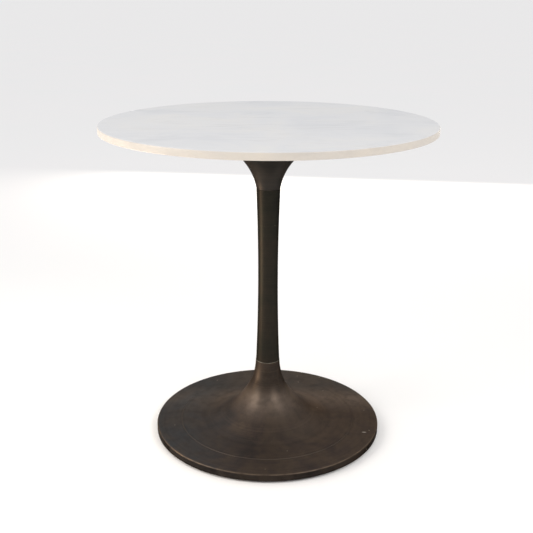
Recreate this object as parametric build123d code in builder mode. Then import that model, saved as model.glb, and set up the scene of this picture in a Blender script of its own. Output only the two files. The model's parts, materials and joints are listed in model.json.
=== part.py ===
"""Round bistro table: a marble slab on a trumpet pedestal that one tie rod clamps together.

Millimetres, +Z up, origin on the floor under the middle of the table, front towards -Y.
Each piece is built where it stands when the table is assembled, with the glides screwed in.
"""
from build123d import *

import os
from math import cos, radians, sin, sqrt, tan

# ---- driving dimensions -------------------------------------------------------------------

TABLE_HEIGHT = 762.0

# marble slab
TOP_RADIUS = 381.0
SLAB_THICKNESS = 16.0
SLAB_TOP_EDGE_RADIUS = 2.5
SLAB_BOTTOM_EDGE_RADIUS = 1.5

# board bonded under the slab
SUB_TOP_RADIUS = 200.0
SUB_TOP_THICKNESS = 18.0
SUB_TOP_BEVEL = 6.0

# upper trumpet, whose outside is one circular arc in section
NECK_FOOT_Z = 609.0
NECK_FOOT_RADIUS = 27.7
NECK_ARC_RADIUS = 133.6
NECK_FOOT_LEAN = radians(9.5)  # how far the arc leans from the vertical at its foot
NECK_FLANGE_RADIUS = 135.0
NECK_FLANGE_EDGE_RADIUS = 2.0
NECK_HOLLOW_RADIUS = 104.0
NECK_HUB_TOP_Z = 645.0

# waisted column
COLUMN_FOOT_Z = 180.0
COLUMN_FOOT_RADIUS = 28.6
COLUMN_WAIST_Z = 410.0
COLUMN_WAIST_RADIUS = 23.6
COLUMN_HEAD_RADIUS = 28.0
COLUMN_BORE_RADIUS = 19.0
SEAM_CHAMFER = 0.6

# trumpet base
BASE_RADIUS = 276.0
RIM_BOTTOM_Z = 5.0
RIM_TOP_Z = 22.4
RIM_EDGE_RADIUS = 4.0
COLLAR_RADIUS = 29.2
FLARE_END_RADIUS = 160.0
FLARE_END_Z = 26.5
FLARE_LEAN = radians(0.5)  # out from the vertical at the collar
FLARE_DIP = radians(1.0)  # below the horizontal where the flare runs into the dish
FLARE_UPPER_PULL = 90.0
FLARE_LOWER_PULL = 44.0
RING_RADIUS = 215.0  # the small turned step between the dish and the outer band
RING_STEP_WIDTH = 0.9
RING_STEP_DROP = 1.0
BASE_HUB_BOTTOM_Z = 150.0
BASE_HUB_RADIUS = 27.0
CASTING_WALL = 6.0
SKIRT_WALL = 7.0

# spigots on both castings centre the column
SPIGOT_RADIUS = 18.95
SPIGOT_LENGTH = 20.0
SPIGOT_CHAMFER = 1.0

# M12 tie rod with a nut at each end
ROD_RADIUS = 5.9
ROD_HOLE_RADIUS = 6.5
ROD_CHAMFER = 1.0
ROD_OVERHANG = 5.0  # how far the rod stands out of each nut
ROD_NUT_BORE_RADIUS = 5.95
ROD_NUT_FLATS = 18.0
ROD_NUT_HEIGHT = 10.0
ROD_WASHER_RADIUS = 15.0
ROD_WASHER_THICKNESS = 2.5
SPRING_WASHER_RADIUS = 10.4
SPRING_WASHER_THICKNESS = 3.0
SPRING_WASHER_GAP = 2.0

# M8 bolts that hold the neck's flange to the board
BOLT_COUNT = 4
BOLT_FIRST_ANGLE = 45.0
BOLT_CIRCLE_RADIUS = 119.0
BOLT_RADIUS = 3.9
BOLT_LENGTH = 20.0
BOLT_FLATS = 13.0
BOLT_HEAD_HEIGHT = 5.3
BOLT_HOLE_RADIUS = 4.5
BOLT_WASHER_RADIUS = 8.0
BOLT_WASHER_THICKNESS = 1.6
BOLT_POCKET_RADIUS = 8.8
BOLT_SEAT_THICKNESS = 7.0  # metal left between the pocket and the board
INSERT_RADIUS = 5.95
INSERT_HOLE_RADIUS = 6.0
INSERT_BORE_RADIUS = 3.95
INSERT_LENGTH = 13.0

# levelling glides
GLIDE_COUNT = 4
GLIDE_FIRST_ANGLE = 45.0
GLIDE_CIRCLE_RADIUS = 235.0
BOSS_RADIUS = 12.0
BOSS_BOTTOM_Z = 10.6
BOSS_HOLE_TOP_Z = 22.0
BOSS_HOLE_RADIUS = 4.0
THREAD_RADIUS = 3.93
THREAD_TOP_Z = 21.7
HEX_FLATS = 13.0
HEX_BOTTOM_Z = 6.3
HEX_TOP_Z = 10.3
BUTTON_RADIUS = 6.5  # the round head that the pad holds
BUTTON_BOTTOM_Z = 2.5
BUTTON_TOP_Z = 4.2
STEM_NECK_RADIUS = 3.5
PAD_RADIUS = 16.0
PAD_HEIGHT = 6.0
PAD_TOP_EDGE_RADIUS = 2.0
PAD_BOTTOM_EDGE_RADIUS = 0.8
PAD_END_PLAY = 0.25
PAD_RUNNING_CLEARANCE = 0.08

SMALL_CHAMFER = 0.6

# ---- heights and radii that follow --------------------------------------------------------

SLAB_BOTTOM_Z = TABLE_HEIGHT - SLAB_THICKNESS
FLANGE_TOP_Z = SLAB_BOTTOM_Z - SUB_TOP_THICKNESS
BOLT_SEAT_Z = FLANGE_TOP_Z - BOLT_SEAT_THICKNESS
BOLT_HEAD_TOP_Z = BOLT_SEAT_Z - BOLT_WASHER_THICKNESS
UPPER_NUT_Z = NECK_HUB_TOP_Z + ROD_WASHER_THICKNESS
ROD_TOP_Z = UPPER_NUT_Z + ROD_NUT_HEIGHT + ROD_OVERHANG
LOWER_WASHER_Z = BASE_HUB_BOTTOM_Z - ROD_WASHER_THICKNESS
SPRING_WASHER_Z = LOWER_WASHER_Z - SPRING_WASHER_THICKNESS
LOWER_NUT_Z = SPRING_WASHER_Z - ROD_NUT_HEIGHT
ROD_BOTTOM_Z = LOWER_NUT_Z - ROD_OVERHANG

NECK_ARC_CENTRE_RADIUS = NECK_FOOT_RADIUS + NECK_ARC_RADIUS * cos(NECK_FOOT_LEAN)
NECK_ARC_CENTRE_Z = NECK_FOOT_Z - NECK_ARC_RADIUS * sin(NECK_FOOT_LEAN)

os.makedirs("parts", exist_ok=True)


def save(piece, label):
    """Labels a finished piece and writes it as parts/label.step."""
    piece.part.label = label
    export_step(piece.part, f"parts/{label}.step")


def hexagon_radius(across_flats):
    """Corner radius of a hexagon from its size across flats."""
    return across_flats / 2 / cos(radians(30))


def circles_of(piece, radius):
    """The piece's circular edges of one radius, lowest first."""
    rings = piece.edges().filter_by(GeomType.CIRCLE)
    return rings.filter_by(lambda edge: abs(edge.radius - radius) < 0.01).sort_by(Axis.Z)


# ---- marble slab and the board under it ---------------------------------------------------

with BuildPart() as marble_top:
    with BuildSketch(Plane.XY.offset(SLAB_BOTTOM_Z)):
        Circle(TOP_RADIUS)
    extrude(amount=SLAB_THICKNESS)
    slab_edges = circles_of(marble_top, TOP_RADIUS)
    fillet(slab_edges[-1], SLAB_TOP_EDGE_RADIUS)
    fillet(circles_of(marble_top, TOP_RADIUS)[0], SLAB_BOTTOM_EDGE_RADIUS)
save(marble_top, "marble_top")

with BuildPart() as sub_top:
    with BuildSketch(Plane.XY.offset(FLANGE_TOP_Z)):
        Circle(SUB_TOP_RADIUS)
    extrude(amount=SUB_TOP_THICKNESS)
    chamfer(circles_of(sub_top, SUB_TOP_RADIUS)[0], SUB_TOP_BEVEL)
    with BuildSketch(Plane.XY.offset(FLANGE_TOP_Z)):
        with PolarLocations(BOLT_CIRCLE_RADIUS, BOLT_COUNT, BOLT_FIRST_ANGLE):
            Circle(INSERT_HOLE_RADIUS)
    extrude(amount=INSERT_LENGTH + SMALL_CHAMFER, mode=Mode.SUBTRACT)
save(sub_top, "sub_top")

with BuildPart() as top_inserts:
    with BuildSketch(Plane.XY.offset(FLANGE_TOP_Z)):
        with PolarLocations(BOLT_CIRCLE_RADIUS, BOLT_COUNT, BOLT_FIRST_ANGLE):
            Circle(INSERT_RADIUS)
            Circle(INSERT_BORE_RADIUS, mode=Mode.SUBTRACT)
    extrude(amount=INSERT_LENGTH)
save(top_inserts, "top_inserts")


# ---- neck: the upper trumpet casting ------------------------------------------------------


def neck_wall_radius(height, arc_radius):
    """Distance from the axis of an arc about the neck's centre, at a height."""
    rise = height - NECK_ARC_CENTRE_Z
    return NECK_ARC_CENTRE_RADIUS - sqrt(arc_radius**2 - rise**2)


def neck_wall_height(radius, arc_radius):
    """Height of an arc about the neck's centre, at a distance from the axis."""
    reach = NECK_ARC_CENTRE_RADIUS - radius
    return NECK_ARC_CENTRE_Z + sqrt(arc_radius**2 - reach**2)


def neck_section(arc_radius, foot_z, rim_radius):
    """Half section between the axis and an arc, from a flat foot up to the flange's top."""
    foot = (neck_wall_radius(foot_z, arc_radius), foot_z)
    rim = (rim_radius, neck_wall_height(rim_radius, arc_radius))
    middle_z = (foot_z + rim[1]) / 2
    middle = (neck_wall_radius(middle_z, arc_radius), middle_z)
    with BuildSketch(Plane.XZ) as section:
        with BuildLine():
            ThreePointArc(foot, middle, rim)
            Polyline(rim, (rim_radius, FLANGE_TOP_Z), (0, FLANGE_TOP_Z), (0, foot_z), foot)
        make_face()
    return section.sketch


neck_outline = neck_section(NECK_ARC_RADIUS, NECK_FOOT_Z, NECK_FLANGE_RADIUS)
neck_hollow = neck_section(NECK_ARC_RADIUS + CASTING_WALL, NECK_HUB_TOP_Z, NECK_HOLLOW_RADIUS)

with BuildPart() as neck:
    revolve(neck_outline, axis=Axis.Z)
    fillet(circles_of(neck, NECK_FLANGE_RADIUS), NECK_FLANGE_EDGE_RADIUS)
    chamfer(circles_of(neck, NECK_FOOT_RADIUS)[0], SEAM_CHAMFER)
    revolve(neck_hollow, axis=Axis.Z, mode=Mode.SUBTRACT)
    # spigot that drops into the column
    with BuildSketch(Plane.XY.offset(NECK_FOOT_Z)):
        Circle(SPIGOT_RADIUS)
    extrude(amount=-SPIGOT_LENGTH)
    chamfer(circles_of(neck, SPIGOT_RADIUS)[0], SPIGOT_CHAMFER)
    # hole for the tie rod
    with BuildSketch(Plane.XY.offset(NECK_HUB_TOP_Z)):
        Circle(ROD_HOLE_RADIUS)
    extrude(amount=NECK_FOOT_Z - SPIGOT_LENGTH - NECK_HUB_TOP_Z, mode=Mode.SUBTRACT)
    # bolt holes, each with a flat seat cut up into the underside of the flange
    with BuildSketch(Plane.XY.offset(BOLT_SEAT_Z)):
        with PolarLocations(BOLT_CIRCLE_RADIUS, BOLT_COUNT, BOLT_FIRST_ANGLE):
            Circle(BOLT_HOLE_RADIUS)
    extrude(amount=BOLT_SEAT_THICKNESS, mode=Mode.SUBTRACT)
    with BuildSketch(Plane.XY.offset(BOLT_SEAT_Z)):
        with PolarLocations(BOLT_CIRCLE_RADIUS, BOLT_COUNT, BOLT_FIRST_ANGLE):
            Circle(BOLT_POCKET_RADIUS)
    extrude(amount=-2 * BOLT_SEAT_THICKNESS, mode=Mode.SUBTRACT)
save(neck, "neck")

with BuildPart() as flange_bolts:
    with BuildSketch(Plane.XY.offset(BOLT_HEAD_TOP_Z)):
        with PolarLocations(BOLT_CIRCLE_RADIUS, BOLT_COUNT, BOLT_FIRST_ANGLE):
            RegularPolygon(hexagon_radius(BOLT_FLATS), 6)
    extrude(amount=-BOLT_HEAD_HEIGHT)
    chamfer(flange_bolts.edges().group_by(Axis.Z)[0], SMALL_CHAMFER)
    with BuildSketch(Plane.XY.offset(BOLT_HEAD_TOP_Z)):
        with PolarLocations(BOLT_CIRCLE_RADIUS, BOLT_COUNT, BOLT_FIRST_ANGLE):
            Circle(BOLT_RADIUS)
    extrude(amount=BOLT_LENGTH)
    chamfer(flange_bolts.edges().group_by(Axis.Z)[-1], SMALL_CHAMFER)
save(flange_bolts, "flange_bolts")

with BuildPart() as flange_washers:
    with BuildSketch(Plane.XY.offset(BOLT_HEAD_TOP_Z)):
        with PolarLocations(BOLT_CIRCLE_RADIUS, BOLT_COUNT, BOLT_FIRST_ANGLE):
            Circle(BOLT_WASHER_RADIUS)
            Circle(BOLT_HOLE_RADIUS, mode=Mode.SUBTRACT)
    extrude(amount=BOLT_WASHER_THICKNESS)
save(flange_washers, "flange_washers")

# ---- column: a tube turned to a waist -----------------------------------------------------

with BuildPart() as column:
    with BuildSketch(Plane.XZ):
        with BuildLine():
            column_foot = (COLUMN_FOOT_RADIUS, COLUMN_FOOT_Z)
            column_waist = (COLUMN_WAIST_RADIUS, COLUMN_WAIST_Z)
            column_head = (COLUMN_HEAD_RADIUS, NECK_FOOT_Z)
            ThreePointArc(column_foot, column_waist, column_head)
            Polyline(
                column_head,
                (COLUMN_BORE_RADIUS, NECK_FOOT_Z),
                (COLUMN_BORE_RADIUS, COLUMN_FOOT_Z),
                column_foot,
            )
        make_face()
    revolve(axis=Axis.Z)
    chamfer(circles_of(column, COLUMN_FOOT_RADIUS), SEAM_CHAMFER)
    chamfer(circles_of(column, COLUMN_HEAD_RADIUS), SEAM_CHAMFER)
save(column, "column")

# ---- base: the lower trumpet casting ------------------------------------------------------


def flare_points(wall):
    """Bezier points of the flare's section from the collar out, set in by a wall."""
    collar = Vector(COLLAR_RADIUS - wall, COLUMN_FOOT_Z)
    end = Vector(FLARE_END_RADIUS, FLARE_END_Z - wall)
    upper = collar + Vector(sin(FLARE_LEAN), -cos(FLARE_LEAN)) * (FLARE_UPPER_PULL + wall)
    lower = end + Vector(-cos(FLARE_DIP), sin(FLARE_DIP)) * (FLARE_LOWER_PULL + wall)
    return collar, upper, lower, end


ring_top_z = FLARE_END_Z - (RING_RADIUS - FLARE_END_RADIUS) * tan(FLARE_DIP)
ring_top = (RING_RADIUS, ring_top_z)
ring_bottom = (RING_RADIUS + RING_STEP_WIDTH, ring_top_z - RING_STEP_DROP)
skirt_inner_radius = BASE_RADIUS - SKIRT_WALL
outside = flare_points(0)
inside = flare_points(CASTING_WALL)

with BuildPart() as base:
    with BuildSketch(Plane.XZ):
        with BuildLine():
            Bezier(*outside)
            Polyline(
                outside[-1],
                ring_top,
                ring_bottom,
                (BASE_RADIUS, RIM_TOP_Z),
                (BASE_RADIUS, RIM_BOTTOM_Z),
                (skirt_inner_radius, RIM_BOTTOM_Z),
                (skirt_inner_radius, RIM_TOP_Z - CASTING_WALL),
                inside[-1],
            )
            Bezier(*inside)
            Line(inside[0], outside[0])
        make_face()
    revolve(axis=Axis.Z)
    fillet(circles_of(base, BASE_RADIUS)[-1], RIM_EDGE_RADIUS)
    chamfer(circles_of(base, BASE_RADIUS)[0], SMALL_CHAMFER)
    chamfer(circles_of(base, COLLAR_RADIUS)[-1], SEAM_CHAMFER)
    # hub under the collar, and the spigot that stands up into the column
    with BuildSketch(Plane.XY.offset(BASE_HUB_BOTTOM_Z)):
        Circle(BASE_HUB_RADIUS)
    extrude(amount=COLUMN_FOOT_Z - BASE_HUB_BOTTOM_Z)
    with BuildSketch(Plane.XY.offset(COLUMN_FOOT_Z)):
        Circle(SPIGOT_RADIUS)
    extrude(amount=SPIGOT_LENGTH)
    chamfer(circles_of(base, SPIGOT_RADIUS)[-1], SPIGOT_CHAMFER)
    # hole for the tie rod
    with BuildSketch(Plane.XY.offset(BASE_HUB_BOTTOM_Z)):
        Circle(ROD_HOLE_RADIUS)
    extrude(amount=COLUMN_FOOT_Z + SPIGOT_LENGTH - BASE_HUB_BOTTOM_Z, mode=Mode.SUBTRACT)
    # bosses under the outer band, tapped for the glides
    with BuildSketch(Plane.XY.offset(BOSS_BOTTOM_Z)):
        with PolarLocations(GLIDE_CIRCLE_RADIUS, GLIDE_COUNT, GLIDE_FIRST_ANGLE):
            Circle(BOSS_RADIUS)
    extrude(amount=RIM_TOP_Z - BOSS_BOTTOM_Z)
    with BuildSketch(Plane.XY.offset(BOSS_BOTTOM_Z)):
        with PolarLocations(GLIDE_CIRCLE_RADIUS, GLIDE_COUNT, GLIDE_FIRST_ANGLE):
            Circle(BOSS_HOLE_RADIUS)
    extrude(amount=BOSS_HOLE_TOP_Z - BOSS_BOTTOM_Z, mode=Mode.SUBTRACT)
save(base, "base")

# ---- tie rod, its nuts and washers --------------------------------------------------------

with BuildPart() as tie_rod:
    with BuildSketch(Plane.XY.offset(ROD_BOTTOM_Z)):
        Circle(ROD_RADIUS)
    extrude(amount=ROD_TOP_Z - ROD_BOTTOM_Z)
    chamfer(circles_of(tie_rod, ROD_RADIUS), ROD_CHAMFER)
save(tie_rod, "tie_rod")

for nut_name, nut_z in (("upper_nut", UPPER_NUT_Z), ("lower_nut", LOWER_NUT_Z)):
    with BuildPart() as nut:
        with BuildSketch(Plane.XY.offset(nut_z)):
            RegularPolygon(hexagon_radius(ROD_NUT_FLATS), 6)
            Circle(ROD_NUT_BORE_RADIUS, mode=Mode.SUBTRACT)
        extrude(amount=ROD_NUT_HEIGHT)
        chamfer(nut.edges().filter_by(Plane.XY).filter_by(GeomType.LINE), SMALL_CHAMFER)
    save(nut, nut_name)

for washer_name, washer_z in (("upper_washer", NECK_HUB_TOP_Z), ("lower_washer", LOWER_WASHER_Z)):
    with BuildPart() as washer:
        with BuildSketch(Plane.XY.offset(washer_z)):
            Circle(ROD_WASHER_RADIUS)
            Circle(ROD_HOLE_RADIUS, mode=Mode.SUBTRACT)
        extrude(amount=ROD_WASHER_THICKNESS)
    save(washer, washer_name)

with BuildPart() as spring_washer:
    with BuildSketch(Plane.XY.offset(SPRING_WASHER_Z)):
        Circle(SPRING_WASHER_RADIUS)
        Circle(ROD_HOLE_RADIUS, mode=Mode.SUBTRACT)
        with Locations((SPRING_WASHER_RADIUS, 0)):
            Rectangle(SPRING_WASHER_RADIUS, SPRING_WASHER_GAP, mode=Mode.SUBTRACT)
    extrude(amount=SPRING_WASHER_THICKNESS)
save(spring_washer, "spring_washer")

# ---- levelling glides: a stem that turns in a pad -----------------------------------------

for number in range(1, GLIDE_COUNT + 1):
    glide_angle = radians(GLIDE_FIRST_ANGLE + (number - 1) * 360 / GLIDE_COUNT)
    glide_centre = Vector(cos(glide_angle), sin(glide_angle)) * GLIDE_CIRCLE_RADIUS

    with BuildPart() as stem:
        # from the bottom up: button, neck, hexagon, thread
        with BuildSketch(Plane.XY.offset(BUTTON_BOTTOM_Z)):
            with Locations(glide_centre):
                Circle(BUTTON_RADIUS)
        extrude(amount=BUTTON_TOP_Z - BUTTON_BOTTOM_Z)
        with BuildSketch(Plane.XY.offset(BUTTON_TOP_Z)):
            with Locations(glide_centre):
                Circle(STEM_NECK_RADIUS)
        extrude(amount=HEX_BOTTOM_Z - BUTTON_TOP_Z)
        with BuildSketch(Plane.XY.offset(HEX_BOTTOM_Z)):
            with Locations(glide_centre):
                RegularPolygon(hexagon_radius(HEX_FLATS), 6)
        extrude(amount=HEX_TOP_Z - HEX_BOTTOM_Z)
        with BuildSketch(Plane.XY.offset(HEX_TOP_Z)):
            with Locations(glide_centre):
                Circle(THREAD_RADIUS)
        extrude(amount=THREAD_TOP_Z - HEX_TOP_Z)
        chamfer(stem.edges().group_by(Axis.Z)[-1], SMALL_CHAMFER)
    save(stem, f"glide_stem_{number}")

    with BuildPart() as pad:
        with BuildSketch(Plane.XY):
            with Locations(glide_centre):
                Circle(PAD_RADIUS)
        extrude(amount=PAD_HEIGHT)
        fillet(circles_of(pad, PAD_RADIUS)[-1], PAD_TOP_EDGE_RADIUS)
        fillet(circles_of(pad, PAD_RADIUS)[0], PAD_BOTTOM_EDGE_RADIUS)
        # pocket for the button, and the hole that the stem's neck turns in
        with BuildSketch(Plane.XY.offset(BUTTON_BOTTOM_Z - PAD_END_PLAY)):
            with Locations(glide_centre):
                Circle(BUTTON_RADIUS + PAD_END_PLAY)
        extrude(amount=BUTTON_TOP_Z - BUTTON_BOTTOM_Z + 2 * PAD_END_PLAY, mode=Mode.SUBTRACT)
        with BuildSketch(Plane.XY.offset(BUTTON_TOP_Z)):
            with Locations(glide_centre):
                Circle(STEM_NECK_RADIUS + PAD_RUNNING_CLEARANCE)
        extrude(amount=PAD_HEIGHT - BUTTON_TOP_Z, mode=Mode.SUBTRACT)
    save(pad, f"glide_pad_{number}")
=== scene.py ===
# %% [markdown]
# # A marble bistro table, turned ring by ring
# The real table is a stone slab on a pedestal of dark bronze-coloured metal. Almost every piece of it
# was turned on a lathe, so almost every piece here is made the same way: one circle is extruded from
# ring to ring up its profile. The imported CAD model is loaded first. It fixes every size and place.

import json
from math import atan2, cos, hypot, pi, radians, sin, sqrt, tan

import bpy
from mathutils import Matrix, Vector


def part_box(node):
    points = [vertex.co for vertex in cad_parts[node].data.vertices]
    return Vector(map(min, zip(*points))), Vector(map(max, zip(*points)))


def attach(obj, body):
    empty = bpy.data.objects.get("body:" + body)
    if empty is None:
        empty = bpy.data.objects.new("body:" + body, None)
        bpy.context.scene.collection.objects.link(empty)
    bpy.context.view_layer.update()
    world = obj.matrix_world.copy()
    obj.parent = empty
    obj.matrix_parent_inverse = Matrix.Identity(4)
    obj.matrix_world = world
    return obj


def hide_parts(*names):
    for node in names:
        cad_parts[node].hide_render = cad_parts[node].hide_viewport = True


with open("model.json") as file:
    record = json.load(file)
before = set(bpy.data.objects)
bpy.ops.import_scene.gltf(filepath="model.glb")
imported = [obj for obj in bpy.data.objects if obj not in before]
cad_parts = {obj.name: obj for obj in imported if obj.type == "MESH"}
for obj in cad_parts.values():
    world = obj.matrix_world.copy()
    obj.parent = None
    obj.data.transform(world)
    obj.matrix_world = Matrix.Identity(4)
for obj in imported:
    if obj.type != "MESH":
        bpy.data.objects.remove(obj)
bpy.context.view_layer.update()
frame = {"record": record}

# %% [markdown]
# ## Units and small helpers
# Blender works in metres, and the drawings of a table are in millimetres, so one name turns one into
# the other. Operators act on whatever is selected, so each new piece starts from an empty selection.

# %% Helpers for editing
MM = 0.001
record_bodies = frame["record"]["behaviour"]["bodies"]


def start_clean():
    """Leaves object mode with nothing selected, so that the next operator acts on its own piece."""
    if bpy.context.object and bpy.context.object.mode != "OBJECT":
        bpy.ops.object.mode_set(mode="OBJECT")
    bpy.ops.object.select_all(action="DESELECT")


def pick(piece):
    """Makes one piece the selected and active one."""
    start_clean()
    piece.select_set(True)
    bpy.context.view_layer.objects.active = piece


def edit_all():
    """Opens the active piece in edit mode with all of it selected."""
    bpy.ops.object.mode_set(mode="EDIT")
    bpy.ops.mesh.select_all(action="SELECT")


def finish_shape(piece, name, smooth_below=35):
    """Names a piece, bakes its place into its mesh, turns its faces outwards and smooths it."""
    pick(piece)
    piece.name = name
    piece.data.name = name
    bpy.ops.object.transform_apply(location=True, rotation=True, scale=True)
    edit_all()
    bpy.ops.mesh.remove_doubles(threshold=0.005 * MM)
    bpy.ops.mesh.normals_make_consistent(inside=False)
    bpy.ops.object.mode_set(mode="OBJECT")
    bpy.ops.object.shade_smooth_by_angle(angle=radians(smooth_below))
    return piece


def stands_for(piece, node, finish):
    """Gives a finished piece its material and its body, and hides the CAD node that it replaces."""
    if finish:
        piece.data.materials.clear()
        piece.data.materials.append(finish)
    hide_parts(node)
    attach(piece, next(body for body, nodes in record_bodies.items() if node in nodes))


print("bodies:", ", ".join(record_bodies))

# %% [markdown]
# ## Turning
# A lathe could be copied with the spin operator, but that leaves a seam and doubled points to merge.
# Extruding a whole circle keeps every ring closed from the start. Each step extrudes the selected
# ring without moving it, then shrinks or grows it and lifts it to its place on the profile.

# %% A turned skin
ROUND = 192  # corners on a turned ring, enough for a smooth outline at this size


def turn(name, rings, corners=ROUND, closed=False, place=(0, 0)):
    """Turns a piece through (radius, height) rings. closed joins the last ring to the first."""
    start_clean()
    radius, height = rings[0]
    bpy.ops.mesh.primitive_circle_add(vertices=corners, radius=radius, location=(*place, 0))
    piece = bpy.context.object
    centre = (*place, height)
    edit_all()
    bpy.ops.transform.translate(value=(0, 0, height))
    for next_radius, next_height in rings[1:]:
        grow = next_radius / radius
        bpy.ops.mesh.extrude_region_move()
        bpy.ops.transform.resize(value=(grow, grow, 1), center_override=centre)
        bpy.ops.transform.translate(value=(0, 0, next_height - height))
        radius, height = next_radius, next_height
        centre = (*place, height)
    if closed:
        bpy.ops.mesh.select_all(action="DESELECT")
        bpy.ops.mesh.select_non_manifold()
        bpy.ops.mesh.bridge_edge_loops()
    else:
        bpy.ops.mesh.select_all(action="SELECT")
        bpy.ops.mesh.fill_holes(sides=0)
    return finish_shape(piece, name)


def arc(centre, radius, start, end, steps):
    """Profile points on an arc. Angles are in degrees, counted from the outward direction."""
    turns = [radians(start + (end - start) * step / steps) for step in range(steps + 1)]
    return [(centre[0] + radius * cos(a), centre[1] + radius * sin(a)) for a in turns]


def bezier(p0, p1, p2, p3, steps):
    """Profile points on a cubic curve, which is how a drawn flare is usually described."""
    points = []
    for step in range(steps + 1):
        t = step / steps
        a, b, c, d = (1 - t) ** 3, 3 * (1 - t) ** 2 * t, 3 * (1 - t) * t * t, t**3
        points.append(tuple(a * w + b * x + c * y + d * z for w, x, y, z in zip(p0, p1, p2, p3)))
    return points


def straight(start, end, steps):
    """Profile points on a straight run, without its first point."""
    return [
        tuple(s + (e - s) * step / steps for s, e in zip(start, end))
        for step in range(1, steps + 1)
    ]


# %% [markdown]
# ## Cutting, joining and copying
# A boolean modifier drills a hole or welds on a boss as a workshop would, with a tool piece that is
# thrown away afterwards. What repeats round the axis is made once, and each copy has its own mesh.

# %% Booleans and copies


def combine(piece, tool, operation):
    """Cuts, joins or meets a piece with a tool piece, and removes the tool."""
    pick(piece)
    step = piece.modifiers.new("combine", "BOOLEAN")
    step.operation = operation
    step.object = tool
    step.solver = "EXACT"
    bpy.ops.object.modifier_apply(modifier=step.name)
    bpy.data.objects.remove(tool)
    return piece


def in_triangles(piece):
    """Splits the many-sided faces that a union leaves, so that all copies are split alike."""
    pick(piece)
    edit_all()
    bpy.ops.mesh.quads_convert_to_tris(quad_method="BEAUTY", ngon_method="BEAUTY")
    bpy.ops.object.mode_set(mode="OBJECT")
    return piece


def copies_round(piece, name):
    """Copies a finished piece to four places round the axis, each copy with its own mesh."""
    made = []
    for number in range(4):
        pick(piece)
        bpy.ops.object.duplicate()
        twin = bpy.context.object
        edit_all()
        # without a window this operator turns the other way, so the angle is negative
        bpy.ops.transform.rotate(value=-pi / 2 * number, orient_axis="Z", center_override=(0, 0, 0))
        bpy.ops.object.mode_set(mode="OBJECT")
        twin.name = f"{name}_{number + 1}"
        twin.data.name = twin.name
        made.append(twin)
    bpy.data.objects.remove(piece)
    return made


def combine_round(piece, tool, operation):
    """Cuts or joins a piece with four copies of one tool, a quarter turn apart."""
    for copied_tool in copies_round(tool, tool.name):
        combine(piece, copied_tool, operation)


print("a piece is copied to 4 places, 90 degrees apart")


# %% [markdown]
# ## Building a material
# A shader is a handful of nodes, and writing each one takes three lines of set-up. One helper adds any
# node, sets its options and colour stops, and fills each socket with a value or a link.

# %% Nodes and colours


def colour(code):
    """An sRGB hex colour as the linear values that Blender's shaders use."""
    parts = [int(code[i : i + 2], 16) / 255 for i in (1, 3, 5)]
    return (*[p / 12.92 if p <= 0.04045 else ((p + 0.055) / 1.055) ** 2.4 for p in parts], 1.0)


def add(tree, kind, inputs, stops=(), **options):
    """Adds a node. An input is a value, a socket, or a node whose first output in use is linked."""
    node = tree.nodes.new(kind)
    for name, value in options.items():
        setattr(node, name, value)
    for number, (position, code) in enumerate(stops):
        while len(node.color_ramp.elements) < len(stops):
            node.color_ramp.elements.new(1.0)
        node.color_ramp.elements[number].position = position
        node.color_ramp.elements[number].color = colour(code)
    for socket, value in inputs.items():
        if isinstance(value, bpy.types.Node):
            value = next(output for output in value.outputs if output.enabled)
        if isinstance(value, bpy.types.NodeSocket):
            tree.links.new(value, node.inputs[socket])
        else:
            node.inputs[socket].default_value = value
    return node


def empty_finish(name):
    """A new material with an empty tree, and the coordinates of the piece that wears it."""
    material = bpy.data.materials.new(name)
    material.use_nodes = True
    tree = material.node_tree
    tree.nodes.clear()
    return material, tree, add(tree, "ShaderNodeTexCoord", {}).outputs["Object"]


def spots(size):
    """The scale of a noise whose blobs are about this many millimetres across."""
    return 1 / (size * MM)


# a Mix node's sockets in colour use: its factor, the colour at 0 and the colour at 1
FACTOR, FIRST, SECOND = 0, 6, 7
print("0.5 grey is", round(colour("#808080")[0], 3), "in linear light")

# %% [markdown]
# ## Honed white marble
# The slab is calcite marble, sawn, ground flat and honed, which leaves a soft sheen in place of a
# mirror. To the eye it is a cool white with faint grey clouds and a few thin broken veins. The rounded
# edge is ground by hand, and it is tinted creamier than the top: painted warm light on the edge.

# %% Marble
marble, tree, place = empty_finish("honed_white_marble")
clouds = add(tree, "ShaderNodeTexNoise", {
    "Vector": place, "Scale": spots(170), "Detail": 5.0, "Roughness": 0.55, "Distortion": 0.7})
body = add(tree, "ShaderNodeValToRGB", {"Fac": clouds},
           stops=[(0.28, "#C6C8CC"), (0.46, "#CFD0D2"), (0.70, "#D6D5D3")])
# calcite grains, drawn 2.5 mm across so that they just show as a fine mottle
grains = add(tree, "ShaderNodeTexNoise", {"Vector": place, "Scale": spots(2.5), "Detail": 3.0})
mottle = add(tree, "ShaderNodeMapRange", {
    "Value": grains, "From Min": 0.3, "From Max": 0.7, "To Max": 0.12})
body = add(tree, "ShaderNodeMix", {FACTOR: mottle, FIRST: body, SECOND: colour("#C2C1BF")},
           data_type="RGBA")
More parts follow.
